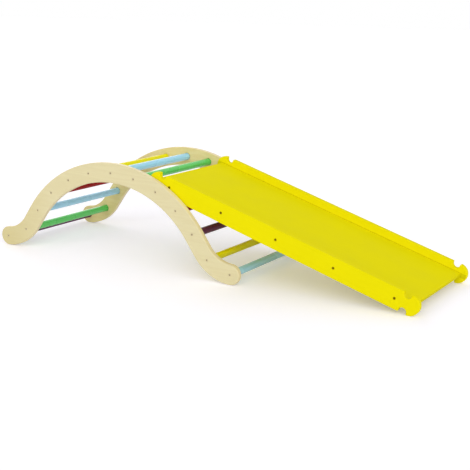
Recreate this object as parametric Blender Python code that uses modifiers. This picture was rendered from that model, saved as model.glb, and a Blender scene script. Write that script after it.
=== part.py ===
"""Wooden climbing arch for small children, with a reversible ramp hooked over one of its rungs.

Lengths are in metres, angles in radians. X runs along the set towards the ramp's foot, Y across
it and Z up. The arch's two side panels are numbered near (-Y) and far (+Y), and its rungs run
from 1 at the free foot to 13 at the foot under the ramp.
"""

import math

import bmesh
import bpy
from mathutils import Matrix, Vector

# Side panels of the arch: one band that bends over the crown and turns out again at each foot
CROWN_RADIUS = 0.402
CROWN_HALF_ANGLE = math.radians(55.1)
LEG_STRAIGHT = 0.053
FOOT_RADIUS = 0.139
FOOT_ANGLE = math.radians(52.1)
BAND_WIDTH = 0.0664
PANEL_THICKNESS = 0.018
PANEL_EDGE_ROUND = 0.0022
ARCH_WIDTH = 0.468

# Rungs: round dowels let into blind seats in the panels
RUNG_RADIUS = 0.01225
RUNG_SEAT_DEPTH = 0.0095
RUNG_COUNT = 13
CROWN_RUNG = 7

# Screws: one at each end of every rung, and along each board of the ramp
SCREW_HEAD_RADIUS = 0.0044
SCREW_HEAD_RIM = 0.0006
SCREW_HEAD_CONE = 0.0022
SCREW_SHANK_RADIUS = 0.0022
SCREW_TIP_LENGTH = 0.004
RUNG_SCREW_LENGTH = 0.042
RAMP_SCREW_LENGTH = 0.045

# Ramp: two boards with round ends, a deck let in between them, and battens under the deck
RAMP_REACH = 0.915
BOARD_HEIGHT = 0.064
BOARD_THICKNESS = 0.018
BOARD_EDGE_ROUND = 0.0022
HOOK_SETBACK = 0.0135
HOOK_DEPTH = 0.0042
HOOK_CORNER_ROUND = 0.003
DECK_THICKNESS = 0.012
DECK_OVERHANG = 0.0115
DECK_EDGE_ROUND = 0.0015
RAMP_SCREW_PITCH = 0.205
RAMP_SCREWS_PER_BOARD = 5
BATTEN_COUNT = 5
BATTEN_PITCH = 0.165
BATTEN_WIDTH = 0.03
BATTEN_HEIGHT = 0.012
BATTEN_ROUND = 0.004

# Which rung carries the ramp
RAMP_RUNG = 9

# Clearances
FIT_GAP = 0.0003
RAMP_SIDE_GAP = 0.002
CUT_OVERRUN = 0.004
MERGE_DISTANCE = 0.00001

# Fineness of the curves
OUTLINE_STEP = math.radians(7)
SMALL_ARC_STEP = math.radians(22.5)
HOOK_STEP = math.radians(18)
RUNG_SIDES = 18
SCREW_SIDES = 8
EDGE_SEGMENTS = 2
BEVEL_ANGLE = math.radians(45)
SHADING_ANGLE = math.radians(30)

# Finishes
WOOD = ("birch_plywood", "#e6d9b4", 0.55)
RAMP_PAINT = ("yellow_ramp_paint", "#f2e312", 0.38)
SCREW_STEEL = ("dark_screw_steel", "#3a2f28", 0.42)
RUNG_PAINTS = {
    "yellow": ("yellow_rung_paint", "#f0e114", 0.35),
    "blue": ("light_blue_rung_paint", "#93c9e6", 0.35),
    "green": ("green_rung_paint", "#4fbf56", 0.35),
    "red": ("red_rung_paint", "#a81414", 0.35),
    "purple": ("purple_rung_paint", "#5d2f52", 0.35),
}
RUNG_COLOURS = (
    "purple", "green", "blue", "red", "purple", "yellow", "blue",
    "green", "blue", "red", "purple", "yellow", "blue",
)

# Sizes that follow from those above
BAND_HALF = BAND_WIDTH / 2
BOARD_HALF = BOARD_HEIGHT / 2
INNER_WIDTH = ARCH_WIDTH - 2 * PANEL_THICKNESS
RAMP_WIDTH = INNER_WIDTH - 2 * RAMP_SIDE_GAP
DECK_WIDTH = RAMP_WIDTH - 2 * BOARD_THICKNESS - 2 * FIT_GAP
DECK_LENGTH = RAMP_REACH + 2 * DECK_OVERHANG
HOOK_RADIUS = RUNG_RADIUS + FIT_GAP
HOOK_OFFSET = BOARD_HALF - HOOK_DEPTH
FOOT_HEADING = CROWN_HALF_ANGLE - FOOT_ANGLE


def arc(centre, radius, start, sweep, step):
    """Points of an arc about centre, angles counted from the first axis towards the second."""
    count = max(1, math.ceil(abs(sweep) / step))
    points = []
    for index in range(count + 1):
        angle = start + sweep * index / count
        points.append((centre[0] + radius * math.cos(angle), centre[1] + radius * math.sin(angle)))
    return points


def leg_frame():
    """Centres of the crown arc, the foot arc and the round end, in the plane of a panel."""
    crown_end_x = CROWN_RADIUS * math.sin(CROWN_HALF_ANGLE)
    crown_end_drop = CROWN_RADIUS * (1 - math.cos(CROWN_HALF_ANGLE))
    leg_end_x = crown_end_x + LEG_STRAIGHT * math.cos(CROWN_HALF_ANGLE)
    leg_end_drop = crown_end_drop + LEG_STRAIGHT * math.sin(CROWN_HALF_ANGLE)
    foot_x = leg_end_x + FOOT_RADIUS * math.sin(CROWN_HALF_ANGLE)
    foot_drop = leg_end_drop - FOOT_RADIUS * math.cos(CROWN_HALF_ANGLE)
    tip_x = foot_x - FOOT_RADIUS * math.sin(FOOT_HEADING)
    tip_drop = foot_drop + FOOT_RADIUS * math.cos(FOOT_HEADING)
    crown_top = BAND_HALF + tip_drop
    return {
        "crown": (0, crown_top - CROWN_RADIUS),
        "leg_start": (crown_end_x, crown_top - crown_end_drop),
        "foot": (foot_x, crown_top - foot_drop),
        "tip": (tip_x, BAND_HALF),
    }


def centreline_length():
    """Length of the band's centreline from the crown to the middle of its round end."""
    return CROWN_RADIUS * CROWN_HALF_ANGLE + LEG_STRAIGHT + FOOT_RADIUS * FOOT_ANGLE


def centreline_point(distance):
    """Point of the centreline at this distance from the crown, on the side of its sign."""
    frame = leg_frame()
    side = math.copysign(1, distance)
    along = abs(distance)
    crown_length = CROWN_RADIUS * CROWN_HALF_ANGLE
    if along <= crown_length:
        angle = along / CROWN_RADIUS
        x = CROWN_RADIUS * math.sin(angle)
        z = frame["crown"][1] + CROWN_RADIUS * math.cos(angle)
    elif along <= crown_length + LEG_STRAIGHT:
        past = along - crown_length
        x = frame["leg_start"][0] + past * math.cos(CROWN_HALF_ANGLE)
        z = frame["leg_start"][1] - past * math.sin(CROWN_HALF_ANGLE)
    else:
        turned_by = (along - crown_length - LEG_STRAIGHT) / FOOT_RADIUS
        heading = CROWN_HALF_ANGLE - turned_by
        x = frame["foot"][0] - FOOT_RADIUS * math.sin(heading)
        z = frame["foot"][1] - FOOT_RADIUS * math.cos(heading)
    return side * x, z


def rung_place(number):
    """Centre of a rung in the plane of a panel; the rungs share the centreline equally."""
    steps_out = number - CROWN_RUNG
    return centreline_point(centreline_length() * steps_out / (RUNG_COUNT - CROWN_RUNG))


def panel_outline():
    """Closed outline of a side panel, from the crown round the right foot and back on the left."""
    frame = leg_frame()
    upright = math.pi / 2
    below = -upright
    right = arc(frame["crown"], CROWN_RADIUS + BAND_HALF, upright, -CROWN_HALF_ANGLE, OUTLINE_STEP)
    right += arc(
        frame["foot"], FOOT_RADIUS - BAND_HALF, below - CROWN_HALF_ANGLE, FOOT_ANGLE, OUTLINE_STEP
    )
    right += arc(
        frame["tip"], BAND_HALF, upright - FOOT_HEADING, -math.pi, 2 * OUTLINE_STEP
    )[1:-1]
    right += arc(
        frame["foot"], FOOT_RADIUS + BAND_HALF, below - FOOT_HEADING, -FOOT_ANGLE, OUTLINE_STEP
    )
    right += arc(
        frame["crown"], CROWN_RADIUS - BAND_HALF, upright - CROWN_HALF_ANGLE, CROWN_HALF_ANGLE,
        OUTLINE_STEP,
    )
    left = [(-x, z) for x, z in reversed(right[1:-1])]
    return right + left


def board_end():
    """Upper quarter of a ramp board's outline at its right end, measured from the end's centre.

    It runs from the hook notch's far corner, through the notch and over the horn to the tip.
    """
    wall = HOOK_RADIUS - HOOK_SETBACK
    far_wall = -HOOK_RADIUS - HOOK_SETBACK
    corner = (far_wall - HOOK_CORNER_ROUND, BOARD_HALF - HOOK_CORNER_ROUND)
    points = arc(corner, HOOK_CORNER_ROUND, math.pi / 2, -math.pi / 2, SMALL_ARC_STEP)
    points += arc((-HOOK_SETBACK, HOOK_OFFSET), HOOK_RADIUS, math.pi, math.pi, HOOK_STEP)
    horn_x = wall + HOOK_CORNER_ROUND
    horn_reach = BOARD_HALF - HOOK_CORNER_ROUND
    horn = (horn_x, math.sqrt(horn_reach**2 - horn_x**2))
    horn_angle = math.atan2(horn[1], horn[0])
    points += arc(horn, HOOK_CORNER_ROUND, math.pi, horn_angle - math.pi, SMALL_ARC_STEP)
    points += arc((0, 0), BOARD_HALF, horn_angle, -horn_angle, 2 * OUTLINE_STEP)[1:]
    return points


def board_outline():
    """Closed outline of a ramp board about its centre: both edges and both ends are alike."""
    quarter = [(x + RAMP_REACH / 2, z) for x, z in board_end()]
    lower_right = [(x, -z) for x, z in reversed(quarter[:-1])]
    right = quarter + lower_right
    left = [(-x, -z) for x, z in right]
    return right + left


def batten_outline():
    """Cross-section of a batten, flat on top with its two lower corners rounded."""
    half = BATTEN_WIDTH / 2
    corner_x = half - BATTEN_ROUND
    corner_z = BATTEN_ROUND - BATTEN_HEIGHT
    quarter_turn = math.pi / 2
    right = [(half, 0)]
    right += arc((corner_x, corner_z), BATTEN_ROUND, 0, -quarter_turn, SMALL_ARC_STEP)
    left = [(-x, z) for x, z in reversed(right)]
    return right + left


def ramp_slope():
    """Slope at which the ramp's foot stands on the floor and its hooks sit on their rung."""
    rung_height = rung_place(RAMP_RUNG)[1]
    along = RAMP_REACH - HOOK_SETBACK
    reach = math.hypot(along, HOOK_OFFSET)
    return math.asin((rung_height - BOARD_HALF) / reach) + math.atan2(HOOK_OFFSET, along)


def set_centre_x():
    """Middle of the whole set, measured along X from the middle of the arch."""
    slope = ramp_slope()
    along = RAMP_REACH - HOOK_SETBACK
    foot_x = rung_place(RAMP_RUNG)[0] + along * math.cos(slope) + HOOK_OFFSET * math.sin(slope)
    arch_tip_x = leg_frame()["tip"][0] + BAND_HALF
    return (foot_x + BOARD_HALF - arch_tip_x) / 2


def clear_scene():
    for piece in list(bpy.data.objects):
        bpy.data.objects.remove(piece, do_unlink=True)


def new_collection(name):
    collection = bpy.data.collections.new(name)
    bpy.context.scene.collection.children.link(collection)
    return collection


def linear(hex_colour):
    """Scene-linear colour of an sRGB hex code."""
    channels = []
    for start in (1, 3, 5):
        value = int(hex_colour[start:start + 2], 16) / 255
        channels.append(value / 12.92 if value <= 0.04045 else ((value + 0.055) / 1.055) ** 2.4)
    return (*channels, 1)


def finish(name, hex_colour, roughness, metallic=0):
    """Material of one finish, made once and shared by the pieces that wear it."""
    found = bpy.data.materials.get(name)
    if found:
        return found
    material = bpy.data.materials.new(name)
    material.use_nodes = True
    shader = material.node_tree.nodes["Principled BSDF"]
    shader.inputs["Base Color"].default_value = linear(hex_colour)
    shader.inputs["Roughness"].default_value = roughness
    shader.inputs["Metallic"].default_value = metallic
    material.diffuse_color = linear(hex_colour)
    return material


def wood_finish():
    return finish(*WOOD)


def ramp_finish():
    return finish(*RAMP_PAINT)


def screw_finish():
    return finish(*SCREW_STEEL, metallic=1)


def rung_finish(number):
    return finish(*RUNG_PAINTS[RUNG_COLOURS[number - 1]])


def baked(piece):
    """The piece with its modifiers worked into its mesh."""
    graph = bpy.context.evaluated_depsgraph_get()
    mesh = bpy.data.meshes.new_from_object(piece.evaluated_get(graph))
    piece.modifiers.clear()
    piece.data = mesh
    return piece


def shade(piece, material):
    piece.data.materials.clear()
    piece.data.materials.append(material)
    piece.data.shade_smooth()
    piece.data.set_sharp_from_angle(angle=SHADING_ANGLE)


def face_outward(mesh):
    """Closes the seams of the mesh and turns all its faces outwards."""
    shape = bmesh.new()
    shape.from_mesh(mesh)
    bmesh.ops.remove_doubles(shape, verts=shape.verts, dist=MERGE_DISTANCE)
    bmesh.ops.recalc_face_normals(shape, faces=shape.faces)
    shape.to_mesh(mesh)
    shape.free()


def rounded(piece, radius, segments=EDGE_SEGMENTS):
    """The piece with its sharp edges rounded."""
    bevel = piece.modifiers.new("edge_round", "BEVEL")
    bevel.width = radius
    bevel.segments = segments
    bevel.limit_method = "ANGLE"
    bevel.angle_limit = BEVEL_ANGLE
    return baked(piece)


def plate(name, outline, thickness, collection):
    """Flat piece cut to an outline in the XZ plane, centred on that plane."""
    curve = bpy.data.curves.new(name, "CURVE")
    curve.dimensions = "2D"
    curve.fill_mode = "BOTH"
    curve.extrude = thickness / 2
    spline = curve.splines.new("POLY")
    spline.points.add(len(outline) - 1)
    for point, (x, z) in zip(spline.points, outline):
        point.co = (x, z, 0, 1)
    spline.use_cyclic_u = True
    drawn = bpy.data.objects.new(name + "_outline", curve)
    collection.objects.link(drawn)
    graph = bpy.context.evaluated_depsgraph_get()
    mesh = bpy.data.meshes.new_from_object(drawn.evaluated_get(graph))
    bpy.data.objects.remove(drawn, do_unlink=True)
    face_outward(mesh)
    mesh.transform(Matrix.Rotation(math.pi / 2, 4, "X"))
    piece = bpy.data.objects.new(name, mesh)
    collection.objects.link(piece)
    return piece


def turned(name, profile, sides, collection):
    """Solid turned about Y from (radius, y) pairs that start and end on the axis."""
    mesh = bpy.data.meshes.new(name)
    points = [(radius, 0, height) for radius, height in profile]
    mesh.from_pydata(points, [(index, index + 1) for index in range(len(points) - 1)], [])
    piece = bpy.data.objects.new(name, mesh)
    collection.objects.link(piece)
    screw = piece.modifiers.new("turn", "SCREW")
    screw.axis = "Z"
    screw.angle = 2 * math.pi
    screw.steps = sides
    screw.render_steps = sides
    screw.use_merge_vertices = True
    screw.merge_threshold = MERGE_DISTANCE
    baked(piece)
    face_outward(piece.data)
    piece.data.transform(Matrix.Rotation(-math.pi / 2, 4, "X"))
    return piece


def block(name, size, collection):
    """Rectangular piece of this size about its own centre."""
    shape = bmesh.new()
    bmesh.ops.create_cube(shape, size=1)
    bmesh.ops.scale(shape, vec=size, verts=shape.verts)
    mesh = bpy.data.meshes.new(name)
    shape.to_mesh(mesh)
    shape.free()
    piece = bpy.data.objects.new(name, mesh)
    collection.objects.link(piece)
    return piece


def gathered(name, pieces, collection):
    """One cutter made of several pieces that don't touch."""
    shape = bmesh.new()
    for piece in pieces:
        piece.data.transform(piece.matrix_basis)
        shape.from_mesh(piece.data)
        bpy.data.objects.remove(piece, do_unlink=True)
    mesh = bpy.data.meshes.new(name)
    shape.to_mesh(mesh)
    shape.free()
    cutter = bpy.data.objects.new(name, mesh)
    collection.objects.link(cutter)
    cutter.hide_render = True
    cutter.display_type = "WIRE"
    return cutter


def cut(piece, cutter):
    """The piece with everything inside the cutter taken away."""
    boolean = piece.modifiers.new("cut", "BOOLEAN")
    boolean.operation = "DIFFERENCE"
    boolean.solver = "EXACT"
    boolean.object = cutter
    return baked(piece)


def copy_of(piece, name, collection):
    """Another object that shares this piece's mesh."""
    twin = bpy.data.objects.new(name, piece.data)
    collection.objects.link(twin)
    return twin


def screw_profile(length):
    """Countersunk screw from the flat of its head at y = 0 to its tip at y = length."""
    cone_end = SCREW_HEAD_RIM + SCREW_HEAD_CONE
    return [
        (0, 0),
        (SCREW_HEAD_RADIUS, 0),
        (SCREW_HEAD_RADIUS, SCREW_HEAD_RIM),
        (SCREW_SHANK_RADIUS, cone_end),
        (SCREW_SHANK_RADIUS, length - SCREW_TIP_LENGTH),
        (0, length),
    ]


def screw_seat_profile(board_thickness):
    """What the screw's seat takes out of a board whose outer face is at y = -FIT_GAP."""
    head = SCREW_HEAD_RADIUS + FIT_GAP
    shank = SCREW_SHANK_RADIUS + FIT_GAP
    rim_end = SCREW_HEAD_RIM + FIT_GAP
    return [
        (0, -CUT_OVERRUN),
        (head, -CUT_OVERRUN),
        (head, rim_end),
        (shank, rim_end + SCREW_HEAD_CONE),
        (shank, board_thickness + CUT_OVERRUN),
        (0, board_thickness + CUT_OVERRUN),
    ]


def rung_seat_profile():
    """What a rung takes out of the inner face of a panel, measured from the panel's middle."""
    seat = RUNG_RADIUS + FIT_GAP
    floor = PANEL_THICKNESS / 2 - RUNG_SEAT_DEPTH
    mouth = PANEL_THICKNESS / 2 + CUT_OVERRUN
    return [(0, floor), (seat, floor), (seat, mouth), (0, mouth)]


def rung_profile():
    """A dowel about its middle, both ends drilled for their screws."""
    half = INNER_WIDTH / 2 + RUNG_SEAT_DEPTH - FIT_GAP
    panel_floor = PANEL_THICKNESS - RUNG_SEAT_DEPTH
    bore = SCREW_SHANK_RADIUS + FIT_GAP
    bore_depth = RUNG_SCREW_LENGTH - panel_floor + FIT_GAP
    near = [(0, bore_depth - half), (bore, bore_depth - half), (bore, -half), (RUNG_RADIUS, -half)]
    far = [(radius, -y) for radius, y in reversed(near)]
    return near + far


def build_side_panels(parts, cutters, frame):
    """The two matching panels, each with a blind seat for every rung and a screw hole behind it."""
    seats = []
    holes = []
    for number in range(1, RUNG_COUNT + 1):
        x, z = rung_place(number)
        seat = turned("rung_seat", rung_seat_profile(), RUNG_SIDES, cutters)
        seat.location = (x, 0, z)
        seats.append(seat)
        hole = turned("screw_hole", screw_seat_profile(PANEL_THICKNESS), SCREW_SIDES, cutters)
        hole.location = (x, FIT_GAP - PANEL_THICKNESS / 2, z)
        holes.append(hole)
    panel = plate("arch_side_near", panel_outline(), PANEL_THICKNESS, parts)
    rounded(panel, PANEL_EDGE_ROUND)
    cut(panel, gathered("rung_seats", seats, cutters))
    cut(panel, gathered("panel_screw_holes", holes, cutters))
    shade(panel, wood_finish())
    twin = copy_of(panel, "arch_side_far", parts)
    offset = (ARCH_WIDTH - PANEL_THICKNESS) / 2
    for piece, side in ((panel, -1), (twin, 1)):
        piece.parent = frame
        piece.location = (0, side * offset, 0)
    twin.rotation_euler = (0, 0, math.pi)


def build_rungs(parts, frame):
    """All rungs, from one turned dowel; each colour has its own mesh."""
    pattern = turned("rung_pattern", rung_profile(), RUNG_SIDES, parts)
    meshes = {}
    for number in range(1, RUNG_COUNT + 1):
        colour = RUNG_COLOURS[number - 1]
        if colour not in meshes:
            meshes[colour] = pattern.data.copy()
        rung = bpy.data.objects.new(f"rung_{number:02d}", meshes[colour])
        parts.objects.link(rung)
        shade(rung, rung_finish(number))
        x, z = rung_place(number)
        rung.parent = frame
        rung.location = (x, 0, z)
    bpy.data.objects.remove(pattern, do_unlink=True)


def build_rung_screws(parts, frame):
    """A countersunk screw through each panel into each end of every rung."""
    pattern = turned("screw_pattern", screw_profile(RUNG_SCREW_LENGTH), SCREW_SIDES, parts)
    shade(pattern, screw_finish())
    face = ARCH_WIDTH / 2 - FIT_GAP
    for number in range(1, RUNG_COUNT + 1):
        x, z = rung_place(number)
        for side_name, side in (("near", -1), ("far", 1)):
            screw = copy_of(pattern, f"rung_screw_{side_name}_{number:02d}", parts)
            screw.parent = frame
            screw.location = (x, side * face, z)
            screw.rotation_euler = (0, 0, math.pi * (1 + side) / 2)
    bpy.data.objects.remove(pattern, do_unlink=True)


def ramp_screw_places():
    """Places of a board's screws along the ramp, from the board's centre."""
    middle = (RAMP_SCREWS_PER_BOARD - 1) / 2
    return [(index - middle) * RAMP_SCREW_PITCH for index in range(RAMP_SCREWS_PER_BOARD)]


def build_ramp_boards(parts, cutters, pivot):
    """The two matching boards, with a hook notch near each end of both edges."""
    holes = []
    for place in ramp_screw_places():
        hole = turned("screw_hole", screw_seat_profile(BOARD_THICKNESS), SCREW_SIDES, cutters)
        hole.location = (place, FIT_GAP - BOARD_THICKNESS / 2, 0)
        holes.append(hole)
    board = plate("ramp_board_near", board_outline(), BOARD_THICKNESS, parts)
    rounded(board, BOARD_EDGE_ROUND)
    cut(board, gathered("board_screw_holes", holes, cutters))
    shade(board, ramp_finish())
    twin = copy_of(board, "ramp_board_far", parts)
    offset = (RAMP_WIDTH - BOARD_THICKNESS) / 2
    for piece, side in ((board, -1), (twin, 1)):
        piece.parent = pivot
        piece.location = ramp_middle() + Vector((0, side * offset, 0))
    twin.rotation_euler = (0, 0, math.pi)


def ramp_middle():
    """Centre of the boards and the deck, seen from the rung that carries the ramp."""
    return Vector((RAMP_REACH / 2 - HOOK_SETBACK, 0, HOOK_OFFSET))


def build_ramp_deck(parts, cutters, pivot):
    """The flat deck between the boards, drilled along both edges for their screws."""
    deck = block("ramp_deck", (DECK_LENGTH, DECK_WIDTH, DECK_THICKNESS), parts)
    rounded(deck, DECK_EDGE_ROUND, 1)
    bore = SCREW_SHANK_RADIUS + FIT_GAP
    depth = RAMP_SCREW_LENGTH - BOARD_THICKNESS + FIT_GAP
    profile = [(0, -CUT_OVERRUN), (bore, -CUT_OVERRUN), (bore, depth), (0, depth)]
    bores = []
    for place in ramp_screw_places():
        for side in (-1, 1):
            hole = turned("deck_bore", profile, SCREW_SIDES, cutters)
            hole.location = (place, side * DECK_WIDTH / 2, 0)
            hole.rotation_euler = (0, 0, math.pi * (1 + side) / 2)
            bores.append(hole)
    cut(deck, gathered("deck_bores", bores, cutters))
    shade(deck, ramp_finish())
    deck.parent = pivot
    deck.location = ramp_middle()


def build_ramp_battens(parts, pivot):
    """Grip battens across the underside, which is the climbing face when the ramp is turned over."""
    batten = plate("ramp_batten_1", batten_outline(), DECK_WIDTH, parts)
    shade(batten, ramp_finish())
    drop = DECK_THICKNESS / 2 + FIT_GAP
    middle = (BATTEN_COUNT - 1) / 2
    for index in range(BATTEN_COUNT):
        piece = batten if index == 0 else copy_of(batten, f"ramp_batten_{index + 1}", parts)
        piece.parent = pivot
        piece.location = ramp_middle() + Vector(((index - middle) * BATTEN_PITCH, 0, -drop))


def build_ramp_screws(parts, pivot):
    """The row of screws through each board into the edge of the deck."""
    pattern = turned("screw_pattern", screw_profile(RAMP_SCREW_LENGTH), SCREW_SIDES, parts)
    shade(pattern, screw_finish())
    face = RAMP_WIDTH / 2 - FIT_GAP
    for index, place in enumerate(ramp_screw_places()):
        for side_name, side in (("near", -1), ("far", 1)):
            screw = copy_of(pattern, f"ramp_screw_{side_name}_{index + 1}", parts)
            screw.parent = pivot
            screw.location = ramp_middle() + Vector((place, side * face, 0))
            screw.rotation_euler = (0, 0, math.pi * (1 + side) / 2)
    bpy.data.objects.remove(pattern, do_unlink=True)


def build():
    clear_scene()
    parts = new_collection("climbing_arch_with_ramp")
    cutters = new_collection("cutters")
    frame = bpy.data.objects.new("arch_frame", None)
    parts.objects.link(frame)
    frame.location = (-set_centre_x(), 0, 0)
    pivot = bpy.data.objects.new("ramp_pivot", None)
    parts.objects.link(pivot)
    rung_x, rung_z = rung_place(RAMP_RUNG)
    pivot.parent = frame
    pivot.location = (rung_x, 0, rung_z)
    pivot.rotation_euler = (0, ramp_slope(), 0)
    build_side_panels(parts, cutters, frame)
    build_rungs(parts, frame)
    build_rung_screws(parts, frame)
    build_ramp_boards(parts, cutters, pivot)
    build_ramp_deck(parts, cutters, pivot)
    build_ramp_battens(parts, pivot)
    build_ramp_screws(parts, pivot)


build()
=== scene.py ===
"""Looks of a wooden climbing arch and its reversible ramp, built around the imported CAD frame.

Lengths are in metres. The arch is drawn in its own frame, whose origin is on the floor under the
crown, with X towards the ramp, Y from the near panel to the far one and Z up. The ramp is drawn
about its own middle, with X down the slope and Z square to its deck.
"""

import logging
from collections.abc import Callable, Sequence
from dataclasses import dataclass, field
from enum import Enum
from functools import partial
from math import asin, atan2, ceil, copysign, cos, hypot, pi, radians, sin, sqrt

import bmesh
import bpy
from bpy.types import ID, Material, Mesh, Node, NodeSocket, NodeTree, Object
from mathutils import Matrix, Vector


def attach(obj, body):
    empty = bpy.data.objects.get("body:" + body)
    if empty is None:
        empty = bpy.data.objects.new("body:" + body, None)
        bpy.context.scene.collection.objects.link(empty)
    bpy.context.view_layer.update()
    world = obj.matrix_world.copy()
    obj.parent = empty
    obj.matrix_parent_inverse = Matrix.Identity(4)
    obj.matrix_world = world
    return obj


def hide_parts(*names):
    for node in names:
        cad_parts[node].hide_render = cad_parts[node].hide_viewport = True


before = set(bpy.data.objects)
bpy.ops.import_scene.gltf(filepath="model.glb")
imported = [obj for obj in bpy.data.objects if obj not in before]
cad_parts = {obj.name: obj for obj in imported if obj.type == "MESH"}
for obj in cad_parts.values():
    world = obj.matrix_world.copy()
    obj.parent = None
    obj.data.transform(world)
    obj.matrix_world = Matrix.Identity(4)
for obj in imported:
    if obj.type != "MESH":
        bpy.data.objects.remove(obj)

LOG = logging.getLogger("climbing_arch")
MILLIMETRE = 0.001
FIT_GAP = 0.3 * MILLIMETRE
# A cutter starts and ends this far outside what it cuts
CUT_MARGIN = 2 * MILLIMETRE
QUARTER_TURN = pi / 2
SMOOTH_ANGLE = radians(32)
OWN_PLACE = "own_place"
# Each piece cuts the noises at its own place in this range
SEED_RANGE = 40.0

Point = tuple[float, float]
Outline = list[Point]
Inputs = dict[int | str, object]
# Adds a node to one material's tree, as add_node does
NodeMaker = Callable[..., Node]


class Body(Enum):
    """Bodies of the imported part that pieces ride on."""

    ARCH = "arch"
    RAMP_RUNG = "ramp_rung"
    RAMP = "ramp"


class Side(Enum):
    """Near and far side of the set, with the sign of their Y."""

    NEAR = -1
    FAR = 1

    @property
    def label(self) -> str:
        """The side's name as it stands in the names of pieces."""
        return self.name.lower()

    @property
    def turn(self) -> Matrix:
        """Half turn about Z that makes a near piece into a far one."""
        return Matrix.Rotation(pi if self is Side.FAR else 0, 4, "Z")


class Axis(Enum):
    """Axis of a piece's own frame, by its place in a vector."""

    X = 0
    Y = 1
    Z = 2


class RungColour(Enum):
    """Paint of a rung: its name and its sRGB colour."""

    YELLOW = "#f3e812"
    BLUE = "#a3dcf6"
    GREEN = "#56cb5b"
    RED = "#a01010"
    PURPLE = "#633153"

    @property
    def slot(self) -> str:
        """Name of the material slot of this paint."""
        return f"rung_{self.name.lower()}"

    @property
    def sheen(self) -> float:
        """Specular level of this paint: the two light ones have more gloss."""
        return 0.65 if self in (RungColour.BLUE, RungColour.GREEN) else 0.08


RUNG_ORDER = [
    RungColour[name] for name in
    "PURPLE GREEN BLUE RED PURPLE YELLOW BLUE GREEN BLUE RED PURPLE YELLOW BLUE".split()
]


def linear(code: str) -> tuple[float, float, float, float]:
    """Turns an sRGB colour, written #rrggbb, into a linear one with an alpha of one."""
    channels = (int(code[start:start + 2], 16) / 255 for start in (1, 3, 5))
    return (*(c / 12.92 if c <= 0.04045 else ((c + 0.055) / 1.055) ** 2.4 for c in channels), 1.0)


def fill(node: Node, inputs: Inputs) -> None:
    """Fills or links a node's sockets, past the ones of other data types, which are switched off.

    Args:
        node: The node.
        inputs: Sockets by name or number, with a value, a #rrggbb colour, a node or a node's socket.
    """
    for name, value in inputs.items():
        socket = next(s for i, s in enumerate(node.inputs) if s.enabled and name in (i, s.name))
        if isinstance(value, Node):
            value = next(output for output in value.outputs if output.enabled)
        if isinstance(value, NodeSocket):
            node.id_data.links.new(value, socket)
        else:
            socket.default_value = linear(value) if isinstance(value, str) else value


def add_node(tree: NodeTree, kind: str, inputs: Inputs | None = None, **settings: object) -> Node:
    """Adds one node, sets its properties, and fills or links its sockets.

    Args:
        tree: Node tree that the node goes into.
        kind: Blender's type name of the node, after ShaderNode.
        inputs: What goes into its sockets, as fill takes it.
        settings: Properties of the node.

    Returns:
        The new node.
    """
    node = tree.nodes.new(f"ShaderNode{kind}")
    for name, value in settings.items():
        setattr(node, name, value)
    fill(node, inputs or {})
    return node


@dataclass(frozen=True)
class Finish:
    """A surface finish that makes its own material once.

    Attributes:
        name: Name of the material.
        slot: Name of the material slot that it stands for; not used.
    """

    name: str
    slot: str

    def shade(self, add: NodeMaker, place: NodeSocket, shader: Node) -> None:
        """Builds the finish's nodes in front of the shader; each finish has its own way.

        Args:
            add: Adds a node to the material.
            place: Point on the piece in the piece's own frame, so that a pattern moves with it.
            shader: The material's shader.
        """
        raise NotImplementedError

    def material(self) -> Material:
        """Makes the material when it is first asked for.

        Returns:
            The finish's material.
        """
        found = bpy.data.materials.get(self.name)
        if found:
            return found
        made = bpy.data.materials.new(self.name)
        made.use_nodes = True
        add = partial(add_node, made.node_tree)
        place = add("Attribute", attribute_name=OWN_PLACE).outputs["Vector"]
        self.shade(add, place, made.node_tree.nodes["Principled BSDF"])
        return made


def stretched_noise(
    add: NodeMaker, place: NodeSocket, sizes: Sequence[float], detail: float = 3.0, distortion: float = 0.0
) -> Node:
    """Noise whose grains have a given size along each axis, different on every piece.

    Args:
        add: Adds a node to the material.
        place: Point on the piece, in its own frame.
        sizes: Size of a grain along X, Y and Z, in millimetres.
        detail: Octaves of the noise.
        distortion: How far the noise bends its own pattern.

    Returns:
        The noise node.
    """
    scales = tuple(1 / (size * MILLIMETRE) for size in sizes)
    scaled = add("VectorMath", {0: place, 1: scales}, operation="MULTIPLY")
    random = add("ObjectInfo").outputs["Random"]
    seed = add("Math", {0: random, 1: SEED_RANGE}, operation="MULTIPLY")
    return add(
        "TexNoise",
        {"Vector": scaled, "W": seed, "Scale": 1.0, "Detail": detail, "Distortion": distortion},
        noise_dimensions="4D",
    )


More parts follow.
